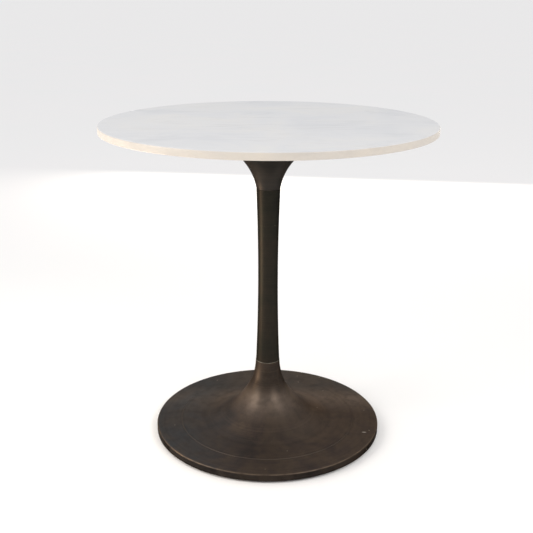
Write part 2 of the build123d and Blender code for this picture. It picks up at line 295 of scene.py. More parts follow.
# a vein is the thin band where a stretched noise passes through its middle value
slant = add(tree, "ShaderNodeMapping", {
    "Vector": place, "Rotation": (0, 0, 0.6), "Scale": (0.45, 1.6, 1.0)})
flow = add(tree, "ShaderNodeTexNoise", {
    "Vector": slant, "Scale": spots(230), "Detail": 6.0, "Roughness": 0.6, "Distortion": 1.4})
offset = add(tree, "ShaderNodeMath", {0: flow, 1: 0.5}, operation="SUBTRACT")
offset = add(tree, "ShaderNodeMath", {0: offset}, operation="ABSOLUTE")
line = add(tree, "ShaderNodeMapRange", {
    "Value": offset, "From Max": 0.03, "To Min": 1.0, "To Max": 0.0})
patches = add(tree, "ShaderNodeTexNoise", {"Vector": place, "Scale": spots(130), "Detail": 2.0})
patches = add(tree, "ShaderNodeMapRange", {"Value": patches, "From Min": 0.42, "From Max": 0.70})
vein = add(tree, "ShaderNodeMath", {0: line, 1: patches}, operation="MULTIPLY")
# small smoky smudges, a few centimetres long, that lie beside the veins
smudge = add(tree, "ShaderNodeTexNoise", {
    "Vector": slant, "Scale": spots(60), "Detail": 4.0, "Roughness": 0.6})
smudge = add(tree, "ShaderNodeMapRange", {
    "Value": smudge, "From Min": 0.58, "From Max": 0.74, "To Max": 0.7})
vein = add(tree, "ShaderNodeMath", {0: vein, 1: smudge}, operation="MAXIMUM")
vein = add(tree, "ShaderNodeMath", {0: vein, 1: 0.30}, operation="MULTIPLY")
body = add(tree, "ShaderNodeMix", {FACTOR: vein, FIRST: body, SECOND: colour("#A8A9AC")},
           data_type="RGBA")
# the ground edge: everything further out than the top's flat
flat_place = add(tree, "ShaderNodeVectorMath", {0: place, 1: (1, 1, 0)}, operation="MULTIPLY")
from_axis = add(tree, "ShaderNodeVectorMath", {0: flat_place}, operation="LENGTH")
edge = add(tree, "ShaderNodeMapRange", {
    "Value": from_axis, "From Min": 379.6 * MM, "From Max": 380.8 * MM})
# painted warm light: the ground edge is tinted cream
painted_warm_edge = add(tree, "ShaderNodeMix", {FACTOR: edge, FIRST: body, SECOND: colour("#F1E8DC")},
            data_type="RGBA", blend_type="MULTIPLY")
# the underside is left as sawn: duller, greyer and scored
facing = add(tree, "ShaderNodeNewGeometry", {})
facing = add(tree, "ShaderNodeSeparateXYZ", {"Vector": facing.outputs["Normal"]})
under = add(tree, "ShaderNodeMapRange", {
    "Value": facing.outputs["Z"], "From Min": -0.5, "From Max": -0.9})
saw_way = add(tree, "ShaderNodeMapping", {"Vector": place, "Scale": (0.02, 1.0, 1.0)})
saw_marks = add(tree, "ShaderNodeTexNoise", {"Vector": saw_way, "Scale": spots(3.0), "Detail": 3.0})
sawn = add(tree, "ShaderNodeMath", {0: under, 1: saw_marks}, operation="MULTIPLY")
body = add(tree, "ShaderNodeMix", {FACTOR: sawn, FIRST: painted_warm_edge, SECOND: colour("#B7B3AD")},
           data_type="RGBA")
gloss = add(tree, "ShaderNodeMapRange", {
    "Value": clouds, "From Min": 0.3, "From Max": 0.7, "To Min": 0.30, "To Max": 0.38})
gloss = add(tree, "ShaderNodeMath", {0: under, 1: 0.35, 2: gloss}, operation="MULTIPLY_ADD")
relief = add(tree, "ShaderNodeMath", {0: sawn, 1: 4.0, 2: grains}, operation="MULTIPLY_ADD")
bump = add(tree, "ShaderNodeBump", {"Height": relief, "Strength": 0.05, "Distance": 0.02 * MM})
shader = add(tree, "ShaderNodeBsdfPrincipled", {
    "Base Color": body, "Roughness": gloss, "Normal": bump, "IOR": 1.49})
add(tree, "ShaderNodeOutputMaterial", {"Surface": shader})
print("marble nodes:", len(tree.nodes))

# %% [markdown]
# ## Bronze patina on turned iron
# The pedestal is iron, turned on a lathe and darkened by hand with a patina. A patina is a thin layer
# of oxide: it reflects like a dull, dark metal and also scatters some light like a paint. So the
# shader is about half metal, and the metal's reflection at grazing angles is held down by its tint.
# Turning leaves fine rings, which come from a noise read by distance from the axis and by height alone.
# The patina is cloudy, browner in places, and rubs through to a lighter tone on the edges; these
# lighter lines are partly painted highlights. Areas of painted light and shade lie over it as well.

# %% Patina


def bronze_patina(name, tones, marked, rub_and_highlight_rings, pitted=0.0, painted_light_and_shade=(), scratch=None):
    """Dark bronze patina, from shade to warm in its tones.

    marked is how strongly the turning shows, pitted how pale the chips are. The rings are
    (radius, height, colour, width) lines of rubbed patina and painted highlight, and the painted
    areas are (axis, from, to, amount, colour) areas of light and shade.
    """
    material, tree, place = empty_finish(name)
    flat_place = add(tree, "ShaderNodeVectorMath", {0: place, 1: (1, 1, 0)}, operation="MULTIPLY")
    from_axis = add(tree, "ShaderNodeVectorMath", {0: flat_place}, operation="LENGTH")
    split = add(tree, "ShaderNodeSeparateXYZ", {"Vector": place})
    profile = add(tree, "ShaderNodeCombineXYZ", {"X": from_axis, "Z": split.outputs["Z"]})
    # turning marks, drawn about 2 mm apart, coarser than real ones so that they show
    marks = add(tree, "ShaderNodeTexNoise", {
        "Vector": profile, "Scale": spots(2.0), "Detail": 2.0, "Roughness": 0.6})
    broad_marks = add(tree, "ShaderNodeTexNoise", {
        "Vector": profile, "Scale": spots(11.0), "Detail": 2.0})
    clouds = add(tree, "ShaderNodeTexNoise", {
        "Vector": place, "Scale": spots(80), "Detail": 6.0, "Roughness": 0.62, "Distortion": 0.5})
    stains = add(tree, "ShaderNodeTexNoise", {
        "Vector": place, "Scale": spots(22), "Detail": 5.0, "Roughness": 0.6})
    body = add(tree, "ShaderNodeValToRGB", {"Fac": clouds},
               stops=list(zip((0.30, 0.44, 0.58, 0.74), tones)))
    # each layer is a mask and the colour that covers what lies under it
    layers = []
    # painted light and shade: lighter or darker areas along an axis or by distance from the axis
    for axis, start, end, amount, tone in painted_light_and_shade:
        along = split.outputs[axis] if axis in "XYZ" else from_axis
        painted_light_reach = add(tree, "ShaderNodeMapRange", {
            "Value": along, "From Min": start, "From Max": end, "To Max": amount})
        uneven = add(tree, "ShaderNodeMapRange", {
            "Value": clouds, "From Min": 0.3, "From Max": 0.6, "To Min": 1.0, "To Max": 0.6})
        painted_light_reach = add(tree, "ShaderNodeMath", {0: painted_light_reach, 1: uneven}, operation="MULTIPLY")
        layers.append((painted_light_reach, tone))
    worn = add(tree, "ShaderNodeMapRange", {
        "Value": stains, "From Min": 0.46, "From Max": 0.66, "To Max": 0.35})
    ringed = add(tree, "ShaderNodeMapRange", {
        "Value": broad_marks, "From Min": 0.35, "From Max": 0.65, "To Max": 0.6 * marked})
    bright = add(tree, "ShaderNodeMapRange", {
        "Value": marks, "From Min": 0.48, "From Max": 0.75, "To Max": marked})
    # pale pits, a millimetre or two across, where the patina has chipped
    pits = add(tree, "ShaderNodeTexVoronoi", {"Vector": place, "Scale": spots(32)})
    pit = add(tree, "ShaderNodeMapRange", {
        "Value": pits, "From Min": 0.016, "From Max": 0.048, "To Min": pitted, "To Max": 0.0})
    layers += [(worn, tones[0]), (ringed, "#262320"), (bright, "#5C5046"), (pit, "#BDB0A0")]
    if scratch:
        # one fresh scratch: an ellipse, centre and half axes in metres
        away = add(tree, "ShaderNodeVectorMath", {0: place, 1: scratch[0]}, operation="SUBTRACT")
        away = add(tree, "ShaderNodeVectorMath", {0: away, 1: scratch[1]}, operation="DIVIDE")
        away = add(tree, "ShaderNodeVectorMath", {0: away}, operation="LENGTH")
        score = add(tree, "ShaderNodeMapRange", {
            "Value": away, "From Min": 0.5, "From Max": 1.0, "To Min": 0.9, "To Max": 0.0})
        layers.append((score, "#C9BFB2"))
    patchy = add(tree, "ShaderNodeMapRange", {
        "Value": stains, "From Min": 0.35, "From Max": 0.6, "To Min": 0.1, "To Max": 0.9})
    # lighter lines round edges and seams: rubbed patina and, in part, painted highlights
    for radius, level, tone, width in rub_and_highlight_rings:
        across = add(tree, "ShaderNodeVectorMath", {
            0: profile, 1: (radius, 0, level)}, operation="DISTANCE")
        rub_and_highlight = add(tree, "ShaderNodeMapRange", {
            "Value": across, "From Min": 0.3 * width, "From Max": width, "To Min": 1.0, "To Max": 0.0})
        rub_and_highlight = add(tree, "ShaderNodeMath", {0: rub_and_highlight, 1: patchy}, operation="MULTIPLY")
        layers.append((rub_and_highlight, tone))
    for mask, tone in layers:
        body = add(tree, "ShaderNodeMix", {FACTOR: mask, FIRST: body, SECOND: colour(tone)},
                   data_type="RGBA")
    cloudy = add(tree, "ShaderNodeMapRange", {
        "Value": clouds, "From Min": 0.3, "From Max": 0.7, "To Min": 0.34, "To Max": 0.42})
    lined = add(tree, "ShaderNodeMapRange", {
        "Value": marks, "From Min": 0.3, "From Max": 0.7, "To Min": -0.03, "To Max": 0.05})
    gloss = add(tree, "ShaderNodeMath", {0: cloudy, 1: lined}, operation="ADD")
    relief = add(tree, "ShaderNodeMath", {0: pit, 1: -1.5, 2: marks}, operation="MULTIPLY_ADD")
    bump = add(tree, "ShaderNodeBump", {
        "Height": relief, "Strength": min(1.0, marked), "Distance": 0.05 * MM})
    shader = add(tree, "ShaderNodeBsdfPrincipled", {
        "Base Color": body, "Roughness": gloss, "Normal": bump, "Metallic": 0.5,
        "Specular IOR Level": 0.0, "Specular Tint": (0.35, 0.35, 0.35, 1.0)})
    add(tree, "ShaderNodeOutputMaterial", {"Surface": shader})
    print(name, "nodes:", len(tree.nodes))
    return material


# %% [markdown]
# ## Rough casting
# Inside, the base keeps its skin from the sand mould under one coat of black primer. It looks dull and
# grainy, with the odd rusty bloom.

# %% Cast skin
cast_skin, tree, place = empty_finish("primed_sand_casting")
sand = add(tree, "ShaderNodeTexNoise", {
    "Vector": place, "Scale": spots(1.6), "Detail": 4.0, "Roughness": 0.7})
bloom = add(tree, "ShaderNodeTexNoise", {"Vector": place, "Scale": spots(35), "Detail": 5.0})
body = add(tree, "ShaderNodeValToRGB", {"Fac": bloom},
           stops=[(0.35, "#262423"), (0.60, "#2F2B28"), (0.76, "#4A3527")])
gritty = add(tree, "ShaderNodeMapRange", {
    "Value": sand, "From Min": 0.35, "From Max": 0.7, "To Max": 0.35})
body = add(tree, "ShaderNodeMix", {FACTOR: gritty, FIRST: body, SECOND: colour("#4A4641")},
           data_type="RGBA")
bump = add(tree, "ShaderNodeBump", {"Height": sand, "Strength": 0.6, "Distance": 0.4 * MM})
shader = add(tree, "ShaderNodeBsdfPrincipled", {
    "Base Color": body, "Roughness": 0.78, "Normal": bump, "IOR": 1.5})
add(tree, "ShaderNodeOutputMaterial", {"Surface": shader})
print(cast_skin.name, "nodes:", len(tree.nodes))

# %% [markdown]
# ## Zinc-plated steel
# Fasteners and glide stems are cold-headed steel with a bright zinc plating: a bluish metal, mottled
# by its crystals and dulled a little where it has been handled.

# %% Zinc
zinc, tree, place = empty_finish("zinc_plated_steel")
crystals = add(tree, "ShaderNodeTexNoise", {
    "Vector": place, "Scale": spots(3.0), "Detail": 5.0, "Roughness": 0.65})
body = add(tree, "ShaderNodeValToRGB", {"Fac": crystals},
           stops=[(0.30, "#A9ADB3"), (0.55, "#BDC0C4"), (0.75, "#C9C6BE")])
gloss = add(tree, "ShaderNodeMapRange", {
    "Value": crystals, "From Min": 0.3, "From Max": 0.7, "To Min": 0.26, "To Max": 0.44})
bump = add(tree, "ShaderNodeBump", {"Height": crystals, "Strength": 0.12, "Distance": 0.03 * MM})
shader = add(tree, "ShaderNodeBsdfPrincipled", {
    "Base Color": body, "Roughness": gloss, "Normal": bump, "Metallic": 1.0})
add(tree, "ShaderNodeOutputMaterial", {"Surface": shader})
print(zinc.name, "nodes:", len(tree.nodes))

# %% [markdown]
# ## Moulded nylon
# The glide pads are injection moulded in black nylon. A spark-eroded mould gives them a fine matt
# texture, and the floor scuffs them grey.

# %% Nylon
nylon, tree, place = empty_finish("moulded_black_nylon")
texture = add(tree, "ShaderNodeTexNoise", {"Vector": place, "Scale": spots(0.8), "Detail": 2.0})
scuffs = add(tree, "ShaderNodeTexNoise", {
    "Vector": place, "Scale": spots(7), "Detail": 5.0, "Roughness": 0.7})
body = add(tree, "ShaderNodeValToRGB", {"Fac": scuffs},
           stops=[(0.35, "#1B1B1C"), (0.60, "#232322"), (0.80, "#3A3937")])
gloss = add(tree, "ShaderNodeMapRange", {
    "Value": scuffs, "From Min": 0.3, "From Max": 0.7, "To Min": 0.48, "To Max": 0.66})
bump = add(tree, "ShaderNodeBump", {"Height": texture, "Strength": 0.2, "Distance": 0.05 * MM})
shader = add(tree, "ShaderNodeBsdfPrincipled", {
    "Base Color": body, "Roughness": gloss, "Normal": bump, "IOR": 1.53})
add(tree, "ShaderNodeOutputMaterial", {"Surface": shader})
print(nylon.name, "nodes:", len(tree.nodes))

# %% [markdown]
# ## Black-stained plywood
# The board that takes the bolts is birch plywood stained black: long grain on its faces, and thin
# veneers on its edge that took the stain differently.

# %% Plywood
plywood, tree, place = empty_finish("black_stained_plywood")
along = add(tree, "ShaderNodeMapping", {"Vector": place, "Scale": (0.05, 1.0, 1.0)})
grain = add(tree, "ShaderNodeTexNoise", {
    "Vector": along, "Scale": spots(2.2), "Detail": 5.0, "Roughness": 0.6, "Distortion": 0.3})
height = add(tree, "ShaderNodeSeparateXYZ", {"Vector": place}).outputs["Z"]
veneers = add(tree, "ShaderNodeMath", {0: height, 1: 1.5 * MM}, operation="PINGPONG")
veneers = add(tree, "ShaderNodeMapRange", {
    "Value": veneers, "From Min": 0.4 * MM, "From Max": 1.1 * MM, "To Max": 0.4})
body = add(tree, "ShaderNodeValToRGB", {"Fac": grain},
           stops=[(0.30, "#1E1A17"), (0.55, "#2C2622"), (0.75, "#3A322B")])
body = add(tree, "ShaderNodeMix", {FACTOR: veneers, FIRST: body, SECOND: colour("#17130F")},
           data_type="RGBA")
gloss = add(tree, "ShaderNodeMapRange", {
    "Value": grain, "From Min": 0.3, "From Max": 0.7, "To Min": 0.58, "To Max": 0.74})
bump = add(tree, "ShaderNodeBump", {"Height": grain, "Strength": 0.3, "Distance": 0.1 * MM})
shader = add(tree, "ShaderNodeBsdfPrincipled", {
    "Base Color": body, "Roughness": gloss, "Normal": bump, "IOR": 1.5})
add(tree, "ShaderNodeOutputMaterial", {"Surface": shader})
print(plywood.name, "nodes:", len(tree.nodes))

# %% [markdown]
# ## Machined brass
# The threaded inserts are turned from brass bar: a warm yellow metal with a light tarnish.

# %% Brass
brass, tree, place = empty_finish("machined_brass")
tarnish = add(tree, "ShaderNodeTexNoise", {
    "Vector": place, "Scale": spots(4), "Detail": 5.0, "Roughness": 0.6})
body = add(tree, "ShaderNodeValToRGB", {"Fac": tarnish},
           stops=[(0.30, "#8F6F38"), (0.55, "#B8934C"), (0.75, "#C9A863")])
gloss = add(tree, "ShaderNodeMapRange", {
    "Value": tarnish, "From Min": 0.3, "From Max": 0.7, "To Min": 0.28, "To Max": 0.42})
shader = add(tree, "ShaderNodeBsdfPrincipled", {
    "Base Color": body, "Roughness": gloss, "Metallic": 1.0})
add(tree, "ShaderNodeOutputMaterial", {"Surface": shader})
print("materials:", len(bpy.data.materials))

# %% [markdown]
# ## The slab
# A marble top is sawn from a slab, cut round and eased by hand at both arrises. Its profile is two
# rounded corners joined by a straight edge. Small extra rings just inside the corners keep the flat
# faces flat where smooth shading would otherwise bend them.

# %% Marble slab
slab_low, slab_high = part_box("marble_top")
slab_radius = slab_high.x
TOP_ROUND = 2.5 * MM
BOTTOM_ROUND = 1.5 * MM
FLAT_MARGIN = 1.0 * MM

rings = [(slab_radius - BOTTOM_ROUND - FLAT_MARGIN, slab_low.z)]
rings += arc((slab_radius - BOTTOM_ROUND, slab_low.z + BOTTOM_ROUND), BOTTOM_ROUND, -90, 0, 6)
rings += arc((slab_radius - TOP_ROUND, slab_high.z - TOP_ROUND), TOP_ROUND, 0, 90, 8)
rings += [(slab_radius - TOP_ROUND - FLAT_MARGIN, slab_high.z)]
slab = turn("marble_slab", rings, corners=256)
stands_for(slab, "marble_top", marble)
print("slab radius", round(slab_radius / MM, 1), "mm")

# %% [markdown]
# ## The board under the slab
# Marble is not screwed into, so a round board is glued under it. Its lower edge is bevelled back out of
# sight, and four blind holes in it take brass inserts.

# %% Board with its holes
board_low, board_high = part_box("sub_top")
BOARD_BEVEL = 6.0 * MM
BOLT_CIRCLE = 119.0 * MM
INSERT_HOLE = 6.0 * MM
INSERT_HOLE_DEPTH = 13.6 * MM
quarter = radians(45)
bolt_place = (BOLT_CIRCLE * cos(quarter), BOLT_CIRCLE * sin(quarter))

board = turn("mounting_board", [
    (board_high.x - BOARD_BEVEL, board_low.z),
    (board_high.x, board_low.z + BOARD_BEVEL),
    (board_high.x, board_high.z - 0.3 * MM),
    (board_high.x - 0.3 * MM, board_high.z)])
hole = turn("hole", [
    (INSERT_HOLE, board_low.z - 1 * MM),
    (INSERT_HOLE, board_low.z + INSERT_HOLE_DEPTH)], corners=48, place=bolt_place)
combine_round(board, hole, "DIFFERENCE")
finish_shape(board, "mounting_board", smooth_below=30)
stands_for(board, "sub_top", plywood)
print("board faces", len(board.data.polygons))

# %% Threaded inserts
insert_low, insert_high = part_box("top_inserts")
INSERT_OUTER = 5.95 * MM
INSERT_BORE = 3.95 * MM
INSERT_RIB = 1.6 * MM

rings = [(INSERT_BORE + 0.4 * MM, insert_low.z), (INSERT_OUTER - 0.3 * MM, insert_low.z)]
level = insert_low.z + 0.8 * MM
while level + INSERT_RIB < insert_high.z:
    # a coarse wood thread, drawn as ribs: out to the crest and back to the root
    rings += [(INSERT_OUTER, level), (INSERT_OUTER - 0.7 * MM, level + INSERT_RIB / 2)]
    level += INSERT_RIB
rings += [(INSERT_OUTER - 0.3 * MM, insert_high.z), (INSERT_BORE, insert_high.z)]
rings += [(INSERT_BORE, insert_low.z + 0.4 * MM)]
insert = turn("insert", rings, corners=48, closed=True, place=bolt_place)
for twin in copies_round(insert, "threaded_insert"):
    stands_for(twin, "top_inserts", brass)
print("insert rings", len(rings))

# %% [markdown]
# ## The base
# The trumpet base was cast and then turned outside. Its outside runs down from the collar in one long
# flare, across a shallow dish to a small step, then over the outer band to a rounded rim. Inside it is
# left as cast. The outline is followed once round, outside and back inside, and closed. A hub with a
# spigot sits at its top and four bosses under its band take the glides.

# %% Trumpet base outline
base_low, base_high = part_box("base")
column_low, column_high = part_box("column")
base_radius = base_high.x
COLLAR_RADIUS = 29.2 * MM
FLARE_END = (160.0 * MM, 26.5 * MM)
FLARE_LEAN = radians(0.5)
FLARE_DIP = radians(1.0)
FLARE_UPPER_PULL = 90.0 * MM
FLARE_LOWER_PULL = 44.0 * MM
STEP_RADIUS = 215.0 * MM
STEP_WIDTH = 0.9 * MM
STEP_DROP = 1.0 * MM
STEP_EASE = 0.5 * MM
RIM_TOP = 22.4 * MM
RIM_ROUND = 4.0 * MM
RIM_FOOT_EASE = 0.6 * MM
SEAM_EASE = 0.6 * MM
CASTING_WALL = 6.0 * MM
SKIRT_WALL = 7.0 * MM
CAST_CORNER = 3.0 * MM
HUB_RADIUS = 27.0 * MM
HUB_BOTTOM = 150.0 * MM
ROD_HOLE = 6.5 * MM
SPIGOT_RADIUS = 18.95 * MM
SPIGOT_EASE = 1.0 * MM

print("base radius", round(base_radius / MM, 1), "mm")

# %% Flare and outline


def flare(wall):
    """The flare's curve from the collar out to the dish, set in by a wall thickness."""
    collar = (COLLAR_RADIUS - wall, column_low.z)
    end = (FLARE_END[0], FLARE_END[1] - wall)
    upper, lower = FLARE_UPPER_PULL + wall, FLARE_LOWER_PULL + wall
    p1 = (collar[0] + upper * sin(FLARE_LEAN), collar[1] - upper * cos(FLARE_LEAN))
    p2 = (end[0] - lower * cos(FLARE_DIP), end[1] + lower * sin(FLARE_DIP))
    return collar, p1, p2, end


step_top = (STEP_RADIUS, FLARE_END[1] - (STEP_RADIUS - FLARE_END[0]) * tan(FLARE_DIP))
step_foot = (STEP_RADIUS + STEP_WIDTH, step_top[1] - STEP_DROP)
skirt_inside = base_radius - SKIRT_WALL

rings = [(ROD_HOLE, base_high.z), (SPIGOT_RADIUS - SPIGOT_EASE, base_high.z)]
rings += [(SPIGOT_RADIUS, base_high.z - SPIGOT_EASE), (SPIGOT_RADIUS, column_low.z)]
rings += [(COLLAR_RADIUS - SEAM_EASE, column_low.z), (COLLAR_RADIUS, column_low.z - SEAM_EASE)]
rings += bezier(*flare(0), steps=64)[1:]
rings += straight(FLARE_END, step_top, 8)[:-1]
rings += arc((step_top[0] - STEP_EASE, step_top[1] - STEP_EASE), STEP_EASE, 88, 30, 4)
rings += [step_foot]
# the band falls gently to the rim, and its slope sets where the rim's rounding starts
band_slope = atan2(step_foot[1] - RIM_TOP, base_radius - step_foot[0])
rim_centre = (base_radius - RIM_ROUND, RIM_TOP + RIM_ROUND * tan(band_slope) - RIM_ROUND / cos(band_slope))
rim_arc = arc(rim_centre, RIM_ROUND, 90 - band_slope * 180 / pi, 0, 10)
rings += straight(step_foot, rim_arc[0], 6)[:-1] + rim_arc
rings += [(base_radius, base_low.z + RIM_FOOT_EASE), (base_radius - RIM_FOOT_EASE, base_low.z)]
outside_count = len(rings)
rings += [(skirt_inside, base_low.z), (skirt_inside, RIM_TOP - CASTING_WALL - CAST_CORNER)]
rings += arc((skirt_inside - CAST_CORNER, RIM_TOP - CASTING_WALL - CAST_CORNER), CAST_CORNER, 30, 90, 3)
rings += [ring for ring in bezier(*flare(CASTING_WALL), steps=40)[::-1] if ring[0] > HUB_RADIUS]
rings += [(HUB_RADIUS, HUB_BOTTOM + 0.5 * MM), (HUB_RADIUS - 0.5 * MM, HUB_BOTTOM), (ROD_HOLE, HUB_BOTTOM)]
trumpet = turn("trumpet_base", rings, corners=256, closed=True)
print("base rings", outside_count, "outside and", len(rings) - outside_count, "inside")

# %% Glide bosses
GLIDE_CIRCLE = 235.0 * MM
BOSS_RADIUS = 12.0 * MM
BOSS_BOTTOM = 10.6 * MM
BOSS_EASE = 0.8 * MM
BOSS_HOLE = 4.0 * MM
BOSS_HOLE_TOP = 22.0 * MM
glide_place = (GLIDE_CIRCLE * cos(quarter), GLIDE_CIRCLE * sin(quarter))
boss = turn("boss", [
    (BOSS_RADIUS - BOSS_EASE, BOSS_BOTTOM),
    (BOSS_RADIUS, BOSS_BOTTOM + BOSS_EASE),
    (BOSS_RADIUS, RIM_TOP - CASTING_WALL / 2)], corners=64, place=glide_place)
tapping = turn("tapping", [
    (BOSS_HOLE + 0.8 * MM, BOSS_BOTTOM - 0.01 * MM),
    (BOSS_HOLE, BOSS_BOTTOM + 0.8 * MM),
    (BOSS_HOLE, BOSS_HOLE_TOP)], corners=48, place=glide_place)
combine_round(trumpet, boss, "UNION")
combine_round(trumpet, tapping, "DIFFERENCE")
finish_shape(trumpet, "trumpet_base")
print("base faces", len(trumpet.data.polygons))

# %% Finishes of the base
# The patina is also painted with light and shade by side: a warmer painted highlight just behind the
# collar and a painted highlight on the flare, painted shade darker at the back, at the top of the flare and
# on the rim's outer face, and a greyer painted reflection at the left. These areas were matched from the
# front only, so the far side is a guess.
BASE_TONES = ("#33302E", "#403834", "#4A4038", "#433A34")
trumpet.data.materials.clear()
trumpet.data.materials.append(bronze_patina("bronze_patina_on_turned_base", BASE_TONES, 0.22, [
    # a lighter line on the rim's top edge: rubbed patina and painted highlight
    (base_radius - 0.9 * MM, RIM_TOP - 0.9 * MM, "#5E5145", 2.4 * MM),
    # a lighter line on the step's edge: rubbed patina and painted highlight
    (*step_top, "#4C443D", 1.1 * MM),
    (COLLAR_RADIUS, column_low.z, "#8A877C", 1.2 * MM)], pitted=0.8, painted_light_and_shade=[
    # painted highlight: warmer and lighter just behind the collar
    ("Y", 10 * MM, 90 * MM, 0.65, "#7A6C60"),
    # painted shade: darker and greyer towards the back
    ("Y", 95 * MM, 165 * MM, 0.95, "#413F3D"),
    # painted reflection: greyer at the left
    ("X", -50 * MM, -190 * MM, 0.75, "#424547"),
    # painted highlight: lighter on the flare
    ("radius", 100 * MM, 60 * MM, 0.75, "#6D6055"),
    # painted shade: dark at the top of the flare
    ("radius", 57 * MM, 41 * MM, 1.0, "#17120F"),
    # painted shade: darker on the rim's outer face
    ("radius", base_radius - 1.2 * MM, base_radius - 0.3 * MM, 1.0, "#1B1816")],
    scratch=((235 * MM, -85 * MM, 24 * MM), (7 * MM, 1.4 * MM, 3 * MM))))
trumpet.data.materials.append(cast_skin)
for face in trumpet.data.polygons:
    middle, out = face.center, hypot(face.center.x, face.center.y)
    inwards = (middle.x * face.normal.x + middle.y * face.normal.y) / out < -0.3
    if face.normal.z < -0.1 or (inwards and middle.z < HUB_BOTTOM):
        face.material_index = 1
stands_for(trumpet, "base", None)

# %% [markdown]
# ## The column and the neck
# Both ends of the column meet a casting at a thin seam. The column is a tube turned to a slight waist.
# The neck is a small trumpet, one plain arc in section, with a flange that is bolted up to the board
# from below. Each bolt sits in a flat-bottomed pocket milled into the flange.

# %% Column
WAIST = (23.6 * MM, 410.0 * MM)
COLUMN_FOOT_RADIUS = column_high.x
COLUMN_HEAD_RADIUS = 28.0 * MM
COLUMN_BORE = 19.0 * MM


def arc_through(start, middle, end, steps):
    """Profile points on the circle through three points."""
    (ax, ay), (bx, by), (cx, cy) = start, middle, end
    d = 2 * (ax * (by - cy) + bx * (cy - ay) + cx * (ay - by))
    a2, b2, c2 = ax * ax + ay * ay, bx * bx + by * by, cx * cx + cy * cy
    ux = (a2 * (by - cy) + b2 * (cy - ay) + c2 * (ay - by)) / d
    uy = (a2 * (cx - bx) + b2 * (ax - cx) + c2 * (bx - ax)) / d
    radius = hypot(ax - ux, ay - uy)
    side = 1 if ax > ux else -1
    points = []
    for step in range(steps + 1):
        y = ay + (cy - ay) * step / steps
        points.append((ux + side * sqrt(radius * radius - (y - uy) ** 2), y))
    return points


shaft = arc_through((COLUMN_FOOT_RADIUS, column_low.z), WAIST, (COLUMN_HEAD_RADIUS, column_high.z), 48)
shaft[0] = (COLUMN_FOOT_RADIUS - SEAM_EASE, column_low.z)
shaft.insert(1, (COLUMN_FOOT_RADIUS, column_low.z + SEAM_EASE))
shaft[-1] = (COLUMN_HEAD_RADIUS, column_high.z - SEAM_EASE)
shaft.append((COLUMN_HEAD_RADIUS - SEAM_EASE, column_high.z))
shaft += [(COLUMN_BORE, column_high.z), (COLUMN_BORE, column_low.z)]
column = turn("waisted_column", shaft, closed=True)
# painted shade: the column's tones are darker than the base's
COLUMN_SHADED_TONES = ("#23221F", "#272621", "#2C2823", "#292520")
stands_for(column, "column", bronze_patina(
    "shaded_bronze_patina_on_column", COLUMN_SHADED_TONES, 0.08, [
        (COLUMN_HEAD_RADIUS, column_high.z, "#47423B", 1.0 * MM),
        (COLUMN_FOOT_RADIUS, column_low.z, "#6B685F", 0.8 * MM)], pitted=0.12))
print("column faces", len(column.data.polygons))

# %% Neck
neck_low, neck_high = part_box("neck")
NECK_FOOT = (27.7 * MM, column_high.z)
NECK_ARC = 133.6 * MM
NECK_LEAN = radians(9.5)
FLANGE_RADIUS = neck_high.x
FLANGE_ROUND = 2.0 * MM
HOLLOW_RADIUS = 104.0 * MM
NECK_HUB_TOP = 645.0 * MM
arc_centre = (NECK_FOOT[0] + NECK_ARC * cos(NECK_LEAN), NECK_FOOT[1] - NECK_ARC * sin(NECK_LEAN))


def neck_height(radius, arc_radius):
    """Height of an arc about the neck's centre at a distance from the axis."""
    return arc_centre[1] + sqrt(arc_radius**2 - (arc_centre[0] - radius) ** 2)


def neck_angle(point):
    """Direction of a point seen from the arc's centre, in degrees."""
    return atan2(point[1] - arc_centre[1], point[0] - arc_centre[0]) * 180 / pi


flange_under = (FLANGE_RADIUS, neck_height(FLANGE_RADIUS, NECK_ARC))
inner_arc = NECK_ARC + CASTING_WALL
shoulder = (HOLLOW_RADIUS, neck_height(HOLLOW_RADIUS, inner_arc))
hub_edge = (arc_centre[0] - sqrt(inner_arc**2 - (NECK_HUB_TOP - arc_centre[1]) ** 2), NECK_HUB_TOP)
rings = [(ROD_HOLE, neck_low.z), (SPIGOT_RADIUS - SPIGOT_EASE, neck_low.z)]
rings += [(SPIGOT_RADIUS, neck_low.z + SPIGOT_EASE), (SPIGOT_RADIUS, NECK_FOOT[1])]
rings += [(NECK_FOOT[0] - SEAM_EASE, NECK_FOOT[1])]
rings += arc(arc_centre, NECK_ARC, neck_angle(NECK_FOOT) - 0.3, neck_angle(flange_under) + 1.0, 56)
rings += [(FLANGE_RADIUS - 0.6 * MM, flange_under[1] + 0.3 * MM)]
rings += [(FLANGE_RADIUS, flange_under[1] + FLANGE_ROUND)]
rings += arc((FLANGE_RADIUS - FLANGE_ROUND, neck_high.z - FLANGE_ROUND), FLANGE_ROUND, 0, 90, 5)
rings += [(HOLLOW_RADIUS, neck_high.z)]
rings += arc(arc_centre, inner_arc, neck_angle(shoulder), neck_angle(hub_edge), 24)
rings += [(ROD_HOLE, NECK_HUB_TOP)]
neck = turn("neck_casting", rings, closed=True)
print("neck rings", len(rings))

# %% Bolt pockets
SEAT_THICKNESS = 7.0 * MM
POCKET_RADIUS = 8.8 * MM
BOLT_HOLE = 4.5 * MM
seat_level = neck_high.z - SEAT_THICKNESS
pocket = turn("pocket", [
    (POCKET_RADIUS, seat_level - 2 * SEAT_THICKNESS),
    (POCKET_RADIUS, seat_level),
    (BOLT_HOLE, seat_level),
    (BOLT_HOLE, neck_high.z + 1 * MM)], corners=64, place=bolt_place)
combine_round(neck, pocket, "DIFFERENCE")
finish_shape(neck, "neck_casting")
